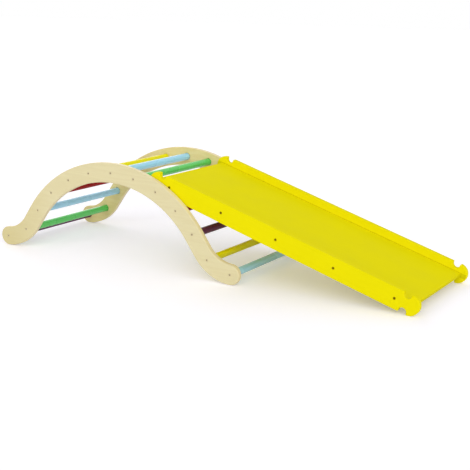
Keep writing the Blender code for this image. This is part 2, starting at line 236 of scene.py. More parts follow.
@dataclass(frozen=True)
class BirchPlywood(Finish):
    """Rotary-cut birch plywood, sanded and clear-lacquered, with its plies in view at the edge.

    Attributes:
        thickness: Thickness of the sheet, along Y.
        plies: Number of veneers glued together.
        pale: Early wood of the face veneer.
        deep: Late wood of the face veneer.
        inner_pale: Early wood on the inner face, warmer and more yellow than on the outer face.
        inner_deep: Late wood of the inner veneer.
        rings: Growth rings that the veneer cuts through.
        pore: Short dark vessel lines of birch.
        heart: Warmer, darker tone that the face veneers take on towards one foot.
        heart_span: X at which that tone begins and X from which it is full.
        edge_long: Plies cut along their grain, seen at the edge.
        edge_end: Plies cut across their grain, seen at the edge.
        glue: Phenolic glue line between two plies.
    """

    thickness: float = 0.018
    plies: int = 13
    pale: str = "#dcd2a4"
    deep: str = "#d9ce9f"
    inner_pale: str = "#e1d392"
    inner_deep: str = "#ddcd8a"
    rings: float = 46.0
    pore: str = "#cdbe8c"
    heart: str = "#c6b878"
    heart_span: tuple[float, float] = (-0.26, -0.45)
    edge_long: str = "#ebdfb0"
    edge_end: str = "#e3d3a8"
    glue: str = "#d6c594"

    def shade(self, add: NodeMaker, place: NodeSocket, shader: Node) -> None:
        """Joins faces and edge to one solid texture under a thin coat of lacquer.

        Args:
            add: Adds a node to the material.
            place: Point on the piece in the piece's own frame.
            shader: The material's shader.
        """
        # Sanded birch under thin lacquer: pale, nearly matt, with a faint lengthwise figure
        parts = add("SeparateXYZ", {0: place})
        # Peeling the log leaves a wide, soft figure, longest along the grain
        figure = stretched_noise(add, place, (420, 90, 45), detail=4.0, distortion=0.6)
        # Vessels are 0.1 mm wide and 3 to 8 mm long; drawn 0.45 mm wide so that they show
        vessels = stretched_noise(add, place, (11, 2, 0.45), detail=2.0)
        vessel_share = add(
            "MapRange", {"Value": vessels, "From Min": 0.58, "From Max": 0.74, "To Max": 0.32}
        )
        face = self.face_colour(add, parts, figure)
        pored = add("Mix", {0: vessel_share, "A": face, "B": self.pore}, data_type="RGBA")
        # Only the face plies show the face figure; what lies deeper shows at the edge
        depth = add("Math", {0: parts.outputs["Y"]}, operation="ABSOLUTE")
        face_ply = self.thickness / 2 - self.thickness / self.plies
        inside = add("Math", {0: depth, 1: face_ply}, operation="LESS_THAN")
        edge = self.edge_colour(add, parts.outputs["Y"])
        wood = add("Mix", {0: inside, "A": pored, "B": edge}, data_type="RGBA")
        sheen = add("MapRange", {"Value": vessels, "To Min": 0.46, "To Max": 0.6})
        relief = add("Math", {0: vessel_share, 1: -0.6, 2: figure}, operation="MULTIPLY_ADD")
        fill(shader, {
            "IOR": 1.5,
            "Coat Weight": 0.12,
            "Coat Roughness": 0.3,
            "Base Color": wood,
            "Roughness": sheen,
            "Normal": add("Bump", {"Height": relief, "Strength": 0.25, "Distance": 0.25 * MILLIMETRE}),
        })

    def face_colour(self, add: NodeMaker, parts: Node, figure: Node) -> Node:
        """Colour of the two face veneers, with growth rings and a darker, warmer tone towards one foot.

        Args:
            add: Adds a node to the material.
            parts: Point on the piece, taken apart.
            figure: Noise that the growth rings follow.

        Returns:
            The node that gives the colour.
        """
        rings = add("Math", {0: figure, 1: self.rings}, operation="MULTIPLY")
        wave = add("Math", {0: rings}, operation="SINE")
        late_share = add("MapRange", {"Value": wave, "From Min": -1.0, "From Max": 1.0})
        # The inner face has its own, warmer and more yellow tone
        inner = add("Math", {0: parts.outputs["Y"], 1: 0.0}, operation="GREATER_THAN")
        early, late = (
            add("Mix", {0: inner, "A": outside, "B": inside}, data_type="RGBA")
            for outside, inside in ((self.pale, self.inner_pale), (self.deep, self.inner_deep))
        )
        veneer = add("Mix", {0: late_share, "A": early, "B": late}, data_type="RGBA")
        # Darker and warmer towards one foot
        begin, end = self.heart_span
        foot_tone_share = add(
            "MapRange",
            {"Value": parts.outputs["X"], "From Min": begin, "From Max": end, "To Max": 0.55},
        )
        return add("Mix", {0: foot_tone_share, "A": veneer, "B": self.heart}, data_type="RGBA")

    def edge_colour(self, add: NodeMaker, across: NodeSocket) -> Node:
        """Colour of the plies and glue lines, where a point's depth alone says which it lies in.

        Args:
            add: Adds a node to the material.
            across: Place of the point across the plies.

        Returns:
            The node that gives the colour.
        """
        ply = add(
            "Math", {0: across, 1: self.plies / self.thickness, 2: self.plies / 2},
            operation="MULTIPLY_ADD",
        )
        number = add("Math", {0: ply}, operation="FLOOR")
        end_grain = add("Math", {0: number, 1: 2.0}, operation="FLOORED_MODULO")
        edge = add("Mix", {0: end_grain, "A": self.edge_long, "B": self.edge_end}, data_type="RGBA")
        # Glue lines are about 0.1 mm, of a ply's 1.4 mm; drawn 0.2 mm
        off_glue = add("Math", {0: ply, 1: 0.5}, operation="PINGPONG")
        glue_share = add("MapRange", {"Value": off_glue, "From Min": 0.08, "From Max": 0.02, "To Max": 0.55})
        return add("Mix", {0: glue_share, "A": edge, "B": self.glue}, data_type="RGBA")


@dataclass(frozen=True)
class PaintedWood(Finish):
    """Satin enamel sprayed on sanded wood; the grain and any plies show faintly through it.

    Attributes:
        colour: The enamel's sRGB colour.
        grain: Axis of the piece that the wood's grain follows.
        plies_across: Axis across the plies, or None for solid wood.
        thickness: Thickness of the sheet across its plies.
        plies: Number of plies in that thickness.
        sheen: Specular level, low on a coat with much matting agent in it.
        roughness: Roughness of the smoothest and of the roughest places.
        joint: Height over the middle line where the inner face meets another piece, along which a line of
            painted shade runs, or None.
        thirst: Share of its brightness that the paint loses on the open edges: partly thirsty end grain,
            partly painted shade on the deck's end face.
    """

    colour: str = "#e9de08"
    grain: Axis = Axis.X
    plies_across: Axis | None = None
    thickness: float = 0.018
    plies: int = 13
    sheen: float = 0.01
    roughness: tuple[float, float] = (0.42, 0.55)
    joint: float | None = None
    thirst: float = 0.0

    def shade(self, add: NodeMaker, place: NodeSocket, shader: Node) -> None:
        """Draws the enamel's slight unevenness, its orange peel and the grain beneath it.

        Args:
            add: Adds a node to the material.
            place: Point on the piece in the piece's own frame.
            shader: The material's shader.
        """
        # Sprayed enamel: one even, strong colour whose soft shine is broken up by orange peel
        parts = add("SeparateXYZ", {0: place})
        # Open grain telegraphs through two coats as lines 1.2 mm wide and 60 mm long
        sizes = [1.2, 1.2, 1.2]
        sizes[self.grain.value] = 60
        streaks = stretched_noise(add, place, sizes)
        # A sprayed coat varies in thickness over a hand's width
        coat = stretched_noise(add, place, (120, 120, 120), detail=2.0)
        mottle = add("Math", {0: streaks, 1: coat}, operation="ADD")
        value = add(
            "MapRange",
            {"Value": mottle, "From Min": 0.6, "From Max": 1.4, "To Min": 0.965, "To Max": 1.025},
        )
        height = streaks
        if self.plies_across is not None:
            value, height = self.show_plies(add, parts.outputs[self.plies_across.value], value, streaks)
        # Painted shade: a darker line on the board's inner face where the deck meets it
        if self.joint is not None:
            value = self.darken_joint(add, parts, value)
        # The peel measures 1.6 mm from crest to crest
        peel = stretched_noise(add, place, (1.6, 1.6, 1.6), detail=1.0)
        relief = add("Math", {0: peel, 1: 0.35, 2: height}, operation="MULTIPLY_ADD")
        smooth, rough = self.roughness
        fill(shader, {
            "IOR": 1.47,
            "Specular IOR Level": self.sheen,
            "Base Color": add("HueSaturation", {"Color": self.colour, "Value": value}),
            "Roughness": add("MapRange", {
                "Value": coat, "From Min": 0.3, "From Max": 0.7, "To Min": smooth, "To Max": rough
            }),
            "Normal": add("Bump", {"Height": relief, "Strength": 0.3, "Distance": 0.12 * MILLIMETRE}),
        })

    def show_plies(
        self, add: NodeMaker, across: NodeSocket, value: Node, streaks: Node
    ) -> tuple[Node, Node]:
        """Lets the plies show at the edges and darkens them, partly as end grain that drinks the paint and
        partly as painted shade.

        Args:
            add: Adds a node to the material.
            across: Place of the point across the plies.
            value: Brightness of the paint on the faces.
            streaks: Relief of the grain on the faces.

        Returns:
            Brightness and relief with the plies in them.
        """
        off_middle = add("Math", {0: across}, operation="ABSOLUTE")
        face = self.thickness / 2
        edge = add("MapRange", {
            "Value": off_middle, "From Min": face - 1.4 * MILLIMETRE, "From Max": face - 0.3 * MILLIMETRE,
            "To Min": 1.0, "To Max": 0.0,
        })
        # Every second ply stands out, so a wave of the plies' count draws them
        phase = add("Math", {0: across, 1: pi * self.plies / self.thickness}, operation="MULTIPLY")
        ribs = add("Math", {0: phase}, operation="COSINE")
        shown = add("Math", {0: ribs, 1: edge}, operation="MULTIPLY")
        # Duller edges: partly thirsty end grain, partly painted shade on the deck's end face
        thirsty_and_shaded = add("Math", {0: edge, 1: -self.thirst, 2: value}, operation="MULTIPLY_ADD")
        dulled = add("Math", {0: shown, 1: 0.025, 2: thirsty_and_shaded}, operation="MULTIPLY_ADD")
        raised = add("Math", {0: shown, 1: 0.5, 2: streaks}, operation="MULTIPLY_ADD")
        return dulled, raised

    def darken_joint(self, add: NodeMaker, parts: Node, value: Node) -> Node:
        """Darkens the paint along the joint with painted shade, standing in for the contact shadow in the
        crease.

        Args:
            add: Adds a node to the material.
            parts: Point on the piece, taken apart.
            value: Brightness of the paint elsewhere.

        Returns:
            Brightness with the line of painted shade in it.
        """
        height = add("Math", {0: parts.outputs["Z"]}, operation="ABSOLUTE")
        # The painted shade line is about 1.7 mm wide and fades upwards
        joint_shade_share = add("MapRange", {
            "Value": height, "From Min": self.joint + 1.2 * MILLIMETRE,
            "From Max": self.joint + 2.2 * MILLIMETRE, "To Min": 0.2, "To Max": 0.0,
        })
        face = self.thickness / 2 - 0.3 * MILLIMETRE
        inner = add("Math", {0: parts.outputs["Y"], 1: face}, operation="GREATER_THAN")
        shade_loss = add("Math", {0: joint_shade_share, 1: inner}, operation="MULTIPLY")
        return add("Math", {0: value, 1: shade_loss}, operation="SUBTRACT")


@dataclass(frozen=True)
class PlatedSteel(Finish):
    """Cold-forged steel screws with a dull yellow zinc coat, with painted shade in the socket.

    Attributes:
        plating: Colour of the zinc coat.
        worn: Colour of the coat where it has lost its tint.
        socket: Dark colour painted into the socket as shade.
    """

    plating: str = "#d3c6a0"
    worn: str = "#dfd4b4"
    socket: str = "#958562"

    def shade(self, add: NodeMaker, place: NodeSocket, shader: Node) -> None:
        """Draws the coat's patches, painted shade in the socket and the fine pits that a tumbled screw has.

        Args:
            add: Adds a node to the material.
            place: Point on the piece in the piece's own frame.
            shader: The material's shader.
        """
        # Zinc on forged steel: a blurred glint, patchy over 1.4 mm, with 0.3 mm pits, round a hole in
        # painted shade
        patches = stretched_noise(add, place, (1.4, 1.4, 1.4))
        share = add("MapRange", {"Value": patches, "From Min": 0.45, "From Max": 0.75})
        metal = add("Mix", {0: share, "A": self.plating, "B": self.worn}, data_type="RGBA")
        # Deeper than half a millimetre the socket colour is painted in, as shade in the hole
        depth = add("SeparateXYZ", {0: place}).outputs["Y"]
        deep = add("MapRange", {"Value": depth, "From Min": 0.1 * MILLIMETRE, "From Max": 0.5 * MILLIMETRE})
        socket_shaded = add("Mix", {0: deep, "A": metal, "B": self.socket}, data_type="RGBA")
        pits = stretched_noise(add, place, (0.3, 0.3, 0.3), detail=1.0)
        fill(shader, {
            "Metallic": 1.0,
            "Base Color": socket_shaded,
            "Roughness": add("MapRange", {"Value": share, "To Min": 0.48, "To Max": 0.34}),
            "Normal": add("Bump", {"Height": pits, "Strength": 0.2, "Distance": 0.04 * MILLIMETRE}),
        })


def arc(centre: Point, radius: float, start: float, sweep: float, step: float) -> Outline:
    """Points of an arc, angles counted from the first axis towards the second.

    Args:
        centre: Centre of the arc.
        radius: Its radius.
        start: Angle of its first point.
        sweep: Angle that it covers, negative when it runs clockwise.
        step: Largest angle between two points.

    Returns:
        The points, both ends among them.
    """
    count = max(1, ceil(abs(sweep) / step))
    angles = (start + sweep * index / count for index in range(count + 1))
    return [(centre[0] + radius * cos(a), centre[1] + radius * sin(a)) for a in angles]


def evenly(count: int, pitch: float) -> list[float]:
    """Places in an even row about zero."""
    return [(index - (count - 1) / 2) * pitch for index in range(count)]


def inset(outline: Outline, distance: float) -> Outline:
    """The outline with every edge moved inwards.

    Args:
        outline: Closed outline that runs anticlockwise.
        distance: How far each edge moves.

    Returns:
        As many points as the outline has.
    """
    moved = []
    for index, point in enumerate(outline):
        here = Vector(point)
        along_in = (here - Vector(outline[index - 1])).normalized()
        along_out = (Vector(outline[(index + 1) % len(outline)]) - here).normalized()
        normal_in = Vector((-along_in.y, along_in.x))
        middle = (normal_in + Vector((-along_out.y, along_out.x))).normalized()
        moved.append(tuple(here + middle * (distance / middle.dot(normal_in))))
    return moved


def loft(rings: Sequence[Sequence[Vector]]) -> Mesh:
    """Closed mesh through a row of rings that all have as many points.

    Args:
        rings: The rings in order; a face closes the first and the last.

    Returns:
        The mesh, with its faces turned outwards.
    """
    shape = bmesh.new()
    rows = [[shape.verts.new(point) for point in ring] for ring in rings]
    for row, following in zip(rows, rows[1:]):
        for index in range(len(row)):
            nxt = (index + 1) % len(row)
            shape.faces.new((row[index], row[nxt], following[nxt], following[index]))
    shape.faces.new(rows[0])
    shape.faces.new(rows[-1])
    bmesh.ops.recalc_face_normals(shape, faces=shape.faces)
    mesh = bpy.data.meshes.new("loft")
    shape.to_mesh(mesh)
    shape.free()
    return mesh


def rounded_plate(outline: Outline, thickness: float, radius: float, segments: int = 4) -> Mesh:
    """Plate in the XZ plane, centred on it, with its edges rounded as by a router.

    Args:
        outline: Closed outline of the plate, in X and Z.
        thickness: Its thickness, along Y.
        radius: Radius of the rounding.
        segments: Steps of the rounding.

    Returns:
        The plate's mesh.
    """
    area = sum(a[0] * b[1] - b[0] * a[1] for a, b in zip(outline, outline[1:] + outline[:1]))
    outward = outline if area > 0 else outline[::-1]
    turns = [QUARTER_TURN * index / segments for index in range(segments + 1)]
    rings = []
    for side in (-1, 1):
        for turn in turns[::-side]:
            drawn = inset(outward, radius * (1 - sin(turn)))
            y = side * (thickness / 2 - radius * (1 - cos(turn)))
            rings.append([Vector((x, y, z)) for x, z in drawn])
    return loft(rings)


def turned(profile: Sequence[Point], sides: int = 48) -> Mesh:
    """Solid turned about Y through the radius and Y of each step, its ends closed flat."""
    turns = [2 * pi * index / sides for index in range(sides)]
    return loft([[Vector((r * cos(a), y, r * sin(a))) for a in turns] for r, y in profile])


def stand(name: str, data: ID) -> Object:
    """Makes an object and puts it into the scene.

    Args:
        name: Name of the object.
        data: Its mesh, lamp or camera.

    Returns:
        The object.
    """
    made = bpy.data.objects.new(name, data)
    bpy.context.scene.collection.objects.link(made)
    return made


def cut(mesh: Mesh, cutters: Sequence[tuple[Mesh, Matrix]]) -> Mesh:
    """The mesh with all cutters taken away.

    Args:
        mesh: Mesh to cut.
        cutters: Closed meshes and the places where they stand; none touches another.

    Returns:
        A new mesh.
    """
    gathered = bmesh.new()
    for cutter, place in cutters:
        standing = cutter.copy()
        standing.transform(place)
        gathered.from_mesh(standing)
        bpy.data.meshes.remove(standing)
    tool_mesh = bpy.data.meshes.new("cutters")
    gathered.to_mesh(tool_mesh)
    gathered.free()
    tool = stand("cutters", tool_mesh)
    blank = stand("blank", mesh)
    boolean = blank.modifiers.new("cut", "BOOLEAN")
    boolean.operation = "DIFFERENCE"
    boolean.solver = "EXACT"
    boolean.object = tool
    graph = bpy.context.evaluated_depsgraph_get()
    result = bpy.data.meshes.new_from_object(blank.evaluated_get(graph))
    for item in (tool, blank):
        bpy.data.objects.remove(item, do_unlink=True)
    return result


def add_piece(name: str, mesh: Mesh, place: Matrix, finish: Finish, body: Body, node: str) -> None:
    """Puts one piece in its place, dresses it and ties it to the frame.

    Args:
        name: Name of the piece.
        mesh: Its mesh, in the piece's own frame.
        place: Where that frame stands in the row frame.
        finish: Finish that it wears.
        body: Body that it moves with.
        node: CAD node that it stands for.
    """
    mesh = mesh.copy()
    mesh.name = name
    own = mesh.attributes.new(OWN_PLACE, "FLOAT_VECTOR", "POINT")
    own.data.foreach_set("vector", [value for vertex in mesh.vertices for value in vertex.co])
    mesh.transform(place)
    piece = stand(name, mesh)
    mesh.materials.clear()
    mesh.materials.append(finish.material())
    mesh.shade_smooth()
    mesh.set_sharp_from_angle(angle=SMOOTH_ANGLE)
    flat = piece.modifiers.new("flat_faces", "WEIGHTED_NORMAL")
    flat.keep_sharp = True
    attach(piece, body.value)
    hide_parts(node)
    LOG.info("%s stands for %s on %s", name, node, body.value)


@dataclass(frozen=True)
class CountersunkScrew:
    """Countersunk wood screw with a hexagonal socket, its head's flat at Y = 0 and facing -Y.

    Attributes:
        length: From the head's flat to the tip.
        head_radius: Radius of the head.
        rim: Height of the head's straight rim.
        cone: Height of the head's cone.
        shank_radius: Radius of the shank.
        tip: Length of the tip.
        socket_radius: Half the width across the socket's flats.
        socket_depth: Depth of the socket.
        chamfer: Chamfer round the head and the socket's mouth.
    """

    length: float
    head_radius: float = 0.0044
    rim: float = 0.0006
    cone: float = 0.0022
    shank_radius: float = 0.0022
    tip: float = 0.004
    socket_radius: float = 0.002
    socket_depth: float = 0.0024
    chamfer: float = 0.0002

    SIDES = 24

    def mesh(self) -> Mesh:
        """Builds the whole screw, from the socket's floor over the head to the tip.

        Returns:
            Its mesh.
        """
        turns = [2 * pi * index / self.SIDES for index in range(self.SIDES)]
        sixth = pi / 3
        circle = [1.0 for turn in turns]
        hexagon = [1 / cos(turn % sixth - sixth / 2) for turn in turns]
        # The socket ends in its drill's shallow point, and the tip is a blunt cone
        steps = [
            (self.socket_depth + self.chamfer, self.socket_radius / 4, hexagon),
            (self.socket_depth, self.socket_radius, hexagon),
            (self.chamfer, self.socket_radius, hexagon),
            (0, self.socket_radius + self.chamfer, hexagon),
            (0, self.head_radius - self.chamfer, circle),
            (self.chamfer, self.head_radius, circle),
            (self.rim, self.head_radius, circle),
            (self.rim + self.cone, self.shank_radius, circle),
            (self.length - self.tip, self.shank_radius, circle),
            (self.length, self.shank_radius / 8, circle),
        ]
        return loft([
            [Vector((radius * out * cos(a), y, radius * out * sin(a))) for a, out in zip(turns, shape)]
            for y, radius, shape in steps
        ])

    def seat(self, board: float) -> Mesh:
        """What the screw's seat takes out of a board.

        Args:
            board: Thickness of the board, whose outer face is one fit gap above the head.

        Returns:
            The cutter, standing as the screw does.
        """
        head = self.head_radius + FIT_GAP
        shank = self.shank_radius + FIT_GAP
        rim_end = self.rim + FIT_GAP
        profile = [
            (head, -CUT_MARGIN), (head, rim_end), (shank, rim_end + self.cone), (shank, board + CUT_MARGIN)
        ]
        return turned(profile, 32)


@dataclass(frozen=True)
class ClimbingArch:
    """The climbing arch: two S-curved panels, thirteen painted dowels and their screws.

    Attributes:
        centre_x: Place of the arch's middle in the row frame.
        crown_radius: Radius of the crown's centreline.
        crown_half_angle: Half the angle that the crown covers.
        leg: Straight part between the crown and the foot.
        foot_radius: Radius of the foot's centreline.
        foot_angle: Angle that the foot covers.
        band: Width of the panels' band.
        thickness: Thickness of the panels.
        edge_round: Radius of the panels' edges.
        width: Width over both panels.
        rung_radius: Radius of the dowels.
        seat_depth: Depth of the dowels' blind seats.
        seat_play: Play all round a dowel in its seat's mouth.
        rung_chamfer: Chamfer at the dowels' ends.
        screw: Screw at each end of a dowel.
        dowel_turn: Turn from one dowel to the next, so that no two show the same grain.
        key_turn: Turn from one screw's socket to the next, as none stops like another.
    """

    centre_x: float = -0.2926566
    crown_radius: float = 0.402
    crown_half_angle: float = radians(55.1)
    leg: float = 0.053
    foot_radius: float = 0.139
    foot_angle: float = radians(52.1)
    band: float = 0.0664
    thickness: float = 0.018
    edge_round: float = 0.003
    width: float = 0.468
    rung_radius: float = 0.01225
    seat_depth: float = 0.0095
    seat_play: float = 0.0012
    rung_chamfer: float = 0.0006
    screw: CountersunkScrew = field(default_factory=lambda: CountersunkScrew(0.042))
    dowel_turn: float = 2.4
    key_turn: float = 1.7

    CROWN_RUNG = 7
    STEP = radians(1.5)

    def centres(self) -> dict[str, Point]:
        """Works out what a panel's centreline hangs on.

        Returns:
            Centres of the crown arc, the foot arc and the round end, and the leg's start.
        """
        turn = self.crown_half_angle
        heading = turn - self.foot_angle
        end_x = self.crown_radius * sin(turn)
        end_drop = self.crown_radius * (1 - cos(turn))
        foot_x = end_x + self.leg * cos(turn) + self.foot_radius * sin(turn)
        foot_drop = end_drop + self.leg * sin(turn) - self.foot_radius * cos(turn)
        tip_x = foot_x - self.foot_radius * sin(heading)
        top = self.band / 2 + foot_drop + self.foot_radius * cos(heading)
        return {
            "crown": (0, top - self.crown_radius),
            "leg": (end_x, top - end_drop),
            "foot": (foot_x, top - foot_drop),
            "tip": (tip_x, self.band / 2),
        }

    def outline(self) -> Outline:
        """Draws a panel, from the crown round the right foot and back on the left.

        Returns:
            Its closed outline.
        """
        centres = self.centres()
        half = self.band / 2
        heading = self.crown_half_angle - self.foot_angle
        up, down = QUARTER_TURN, -QUARTER_TURN
        turn, foot = self.crown_half_angle, self.foot_angle
        right = arc(centres["crown"], self.crown_radius + half, up, -turn, self.STEP)
        right += arc(centres["foot"], self.foot_radius - half, down - turn, foot, self.STEP)
        right += arc(centres["tip"], half, up - heading, -pi, 3 * self.STEP)[1:-1]
        right += arc(centres["foot"], self.foot_radius + half, down - heading, -foot, self.STEP)
        right += arc(centres["crown"], self.crown_radius - half, up - turn, turn, self.STEP)
        return right + [(-x, z) for x, z in reversed(right[1:-1])]

    def rung_place(self, number: int) -> Point:
        """X and Z of a rung; the rungs share the band's centreline equally.

        Args:
            number: The rung's number, from the free foot.

        Returns:
            The rung's centre in the arch's frame.
        """
        centres = self.centres()
        crown = self.crown_radius * self.crown_half_angle
        whole = crown + self.leg + self.foot_radius * self.foot_angle
        steps = number - self.CROWN_RUNG
        along = whole * abs(steps) / (len(RUNG_ORDER) - self.CROWN_RUNG)
        turn = self.crown_half_angle
        if along <= crown:
            angle = along / self.crown_radius
            x = self.crown_radius * sin(angle)
            z = centres["crown"][1] + self.crown_radius * cos(angle)
        elif along <= crown + self.leg:
            x = centres["leg"][0] + (along - crown) * cos(turn)
            z = centres["leg"][1] - (along - crown) * sin(turn)
        else:
            heading = turn - (along - crown - self.leg) / self.foot_radius
            x = centres["foot"][0] - self.foot_radius * sin(heading)
            z = centres["foot"][1] - self.foot_radius * cos(heading)
        return copysign(x, steps), z

    def at(self, x: float, y: float, z: float) -> Matrix:
        """Place in the row frame of a point of the arch's frame."""
        return Matrix.Translation((x + self.centre_x, y, z))

    def panel_mesh(self) -> Mesh:
        """Cuts a near panel's blind rung seats and countersunk screw holes.

        Returns:
            The panel's mesh.
        """
        mesh = rounded_plate(self.outline(), self.thickness, self.edge_round)
        reach = self.rung_radius + self.seat_play
        floor = self.thickness / 2 - self.seat_depth
        rung_seat = turned([(reach, floor), (reach, self.thickness)])
        screw_seat = self.screw.seat(self.thickness)
        seats, holes = [], []
        for number in range(1, len(RUNG_ORDER) + 1):
            x, z = self.rung_place(number)
            seats.append((rung_seat, Matrix.Translation((x, 0, z))))
            holes.append((screw_seat, Matrix.Translation((x, FIT_GAP - self.thickness / 2, z))))
        return cut(cut(mesh, seats), holes)

    def rung_mesh(self) -> Mesh:
        """Turns a dowel about its middle, both ends chamfered and drilled for their screws.

        Returns:
            The dowel's mesh.
        """
        half = self.width / 2 - self.thickness + self.seat_depth - FIT_GAP
        bore = self.screw.shank_radius + FIT_GAP
        bore_end = half - (self.screw.length - self.thickness + self.seat_depth + FIT_GAP)
        end = [
            (bore, bore_end), (bore, half), (self.rung_radius - self.rung_chamfer, half),
            (self.rung_radius, half - self.rung_chamfer),
        ]
        return turned([(r, -y) for r, y in end] + end[::-1])

    def build(self) -> None:
        """Builds and dresses both panels, all rungs and their screws."""
        birch = BirchPlywood("lacquered_birch_plywood", "birch_plywood", self.thickness)
        steel = PlatedSteel("zinc_plated_screw_steel", "screw_steel")
        panel = self.panel_mesh()
        for side in Side:
            middle = side.value * (self.width - self.thickness) / 2
            place = self.at(0, middle, 0) @ side.turn
            name = f"birch_panel_{side.label}"
            add_piece(name, panel, place, birch, Body.ARCH, f"arch_side_{side.label}")
        dowel = self.rung_mesh()
        screw = self.screw.mesh()
        for number, colour in enumerate(RUNG_ORDER, start=1):
            x, z = self.rung_place(number)
            paint = PaintedWood(
                f"enamel_on_beech_{colour.name.lower()}", colour.slot, colour.value, Axis.Y,
                sheen=colour.sheen, roughness=(0.22, 0.32),
            )
            body = Body.RAMP_RUNG if number == Ramp.RUNG else Body.ARCH
            place = self.at(x, 0, z) @ Matrix.Rotation(self.dowel_turn * number, 4, "Y")
            add_piece(f"dowel_{number:02d}", dowel, place, paint, body, f"rung_{number:02d}")
            for side in Side:
                face = side.value * (self.width / 2 - FIT_GAP)
                socket = Matrix.Rotation(self.key_turn * number + side.value, 4, "Y")
                place = self.at(x, face, z) @ side.turn @ socket
                label = f"screw_{side.label}_{number:02d}"
                add_piece(f"dowel_{label}", screw, place, steel, Body.ARCH, f"rung_{label}")


@dataclass(frozen=True)
class Ramp:
    """The reversible ramp: two hooked boards, the deck between them, grip battens and screws.

    Attributes:
        arch: The arch that the ramp hangs on.
        reach: From the centre of one round end to that of the other.
        height: Height of the boards.
        board: Thickness of the boards.
        edge_round: Radius of the boards' edges.
        setback: From a round end's centre back to its hook.
        hook_depth: Depth of the hook's centre under the board's edge.
        corner: Radius of the hook's corners.
        deck: Thickness of the deck.
        deck_round: Radius of the deck's edges.
        overhang: How far the deck reaches past the round ends' centres.
        side_gap: Gap between a board and the panel beside it.
        screw_pitch: Distance between the boards' screws.
        screws: Screws in each board.
        battens: Number of battens.
        batten_pitch: Distance between them.
        batten_width: Their width.
        batten_height: Their height.
        batten_round: Radius of their long edges.
        batten_end_round: Radius of the edges of their ends.
        screw: Screw through a board into the deck.
        key_turn: Turn from one screw's socket to the next.
    """

    arch: ClimbingArch
    reach: float = 0.915
    height: float = 0.064
    board: float = 0.018
    edge_round: float = 0.0022
    setback: float = 0.0135
    hook_depth: float = 0.0042
    corner: float = 0.003
    deck: float = 0.012
    deck_round: float = 0.0015
    overhang: float = 0.0115
    side_gap: float = 0.002
    screw_pitch: float = 0.205
    screws: int = 5
    battens: int = 5
    batten_pitch: float = 0.165
    batten_width: float = 0.03
    batten_height: float = 0.012
    batten_round: float = 0.004
    batten_end_round: float = 0.0006
    screw: CountersunkScrew = field(default_factory=lambda: CountersunkScrew(0.045))
    key_turn: float = 2.1

    RUNG = 9
    STEP = radians(6)
    CORNER_STEP = radians(15)
    BATTEN_STEP = radians(9)

    @property
    def width(self) -> float:
        """Width over both boards."""
        return self.arch.width - 2 * (self.arch.thickness + self.side_gap)

    @property
    def deck_width(self) -> float:
        """Width of the deck."""
        return self.width - 2 * (self.board + FIT_GAP)

    @property
    def hook_offset(self) -> float:
        """Height of a hook's centre over the board's middle line."""
        return self.height / 2 - self.hook_depth

    def frame(self) -> Matrix:
        """Hangs the ramp on its rung with the low end on the floor.

        Returns:
            Its own frame: its middle, with X down the slope and Z square to the deck.
        """
        rung_x, rung_z = self.arch.rung_place(self.RUNG)
        along = self.reach - self.setback
        drop = rung_z - self.height / 2
        slope = asin(drop / hypot(along, self.hook_offset))
        slope += atan2(self.hook_offset, along)
        middle = Vector((self.reach / 2 - self.setback, 0, self.hook_offset))
        pivot = self.arch.at(rung_x, 0, rung_z) @ Matrix.Rotation(slope, 4, "Y")
        return pivot @ Matrix.Translation(middle)

    def board_outline(self) -> Outline:
        """Draws a board about its middle: both edges and both ends are alike.

        Returns:
            Its closed outline.
        """
        half = self.height / 2
        hook = self.arch.rung_radius + FIT_GAP
        far_wall = -hook - self.setback
        shoulder = (far_wall - self.corner, half - self.corner)
        points = arc(shoulder, self.corner, QUARTER_TURN, -QUARTER_TURN, self.CORNER_STEP)
        points += arc((-self.setback, self.hook_offset), hook, pi, pi, self.STEP)
        horn_x = hook - self.setback + self.corner
        horn = (horn_x, sqrt((half - self.corner) ** 2 - horn_x**2))
        horn_angle = atan2(horn[1], horn[0])
        points += arc(horn, self.corner, pi, horn_angle - pi, self.CORNER_STEP)
        points += arc((0, 0), half, horn_angle, -horn_angle, self.STEP)[1:]
        quarter = [(x + self.reach / 2, z) for x, z in points]
        right = quarter + [(x, -z) for x, z in reversed(quarter[:-1])]
        return right + [(-x, -z) for x, z in right]

    def screw_places(self) -> list[float]:
        """X of each of a board's screws."""
        return evenly(self.screws, self.screw_pitch)

    def board_mesh(self) -> Mesh:
        """Cuts a near board's countersunk screw holes.

        Returns:
            The board's mesh.
        """
        blank = rounded_plate(self.board_outline(), self.board, self.edge_round)
        seat = self.screw.seat(self.board)
        face = FIT_GAP - self.board / 2
        return cut(blank, [(seat, Matrix.Translation((x, face, 0))) for x in self.screw_places()])

    def deck_mesh(self) -> Mesh:
        """Cuts the deck, lying flat, with a bore in its edge for each screw.

        Returns:
            The deck's mesh.
        """
        x = self.reach / 2 + self.overhang
        y = self.deck_width / 2
        outline = [(-x, -y), (x, -y), (x, y), (-x, y)]
        mesh = rounded_plate(outline, self.deck, self.deck_round, 3)
        mesh.transform(Matrix.Rotation(QUARTER_TURN, 4, "X"))
        radius = self.screw.shank_radius + FIT_GAP
        depth = self.screw.length - self.board + FIT_GAP
        bore = turned([(radius, -CUT_MARGIN), (radius, depth)], 24)
        places = []
        for side in Side:
            edge = Matrix.Translation((0, side.value * y, 0)) @ side.turn
            places += [(bore, Matrix.Translation((place, 0, 0)) @ edge) for place in self.screw_places()]
        return cut(mesh, places)

    def batten_mesh(self) -> Mesh:
        """Shapes a grip batten, its flat back at Z = 0 and its rounded face below.

        Returns:
            The batten's mesh.
        """
        half = self.batten_width / 2
        low = self.batten_round - self.batten_height
        corner = (half - self.batten_round, low)
        right = [(half, 0)] + arc(corner, self.batten_round, 0, -QUARTER_TURN, self.BATTEN_STEP)
        outline = right + [(-x, z) for x, z in reversed(right)]
        return rounded_plate(outline, self.deck_width, self.batten_end_round, 2)

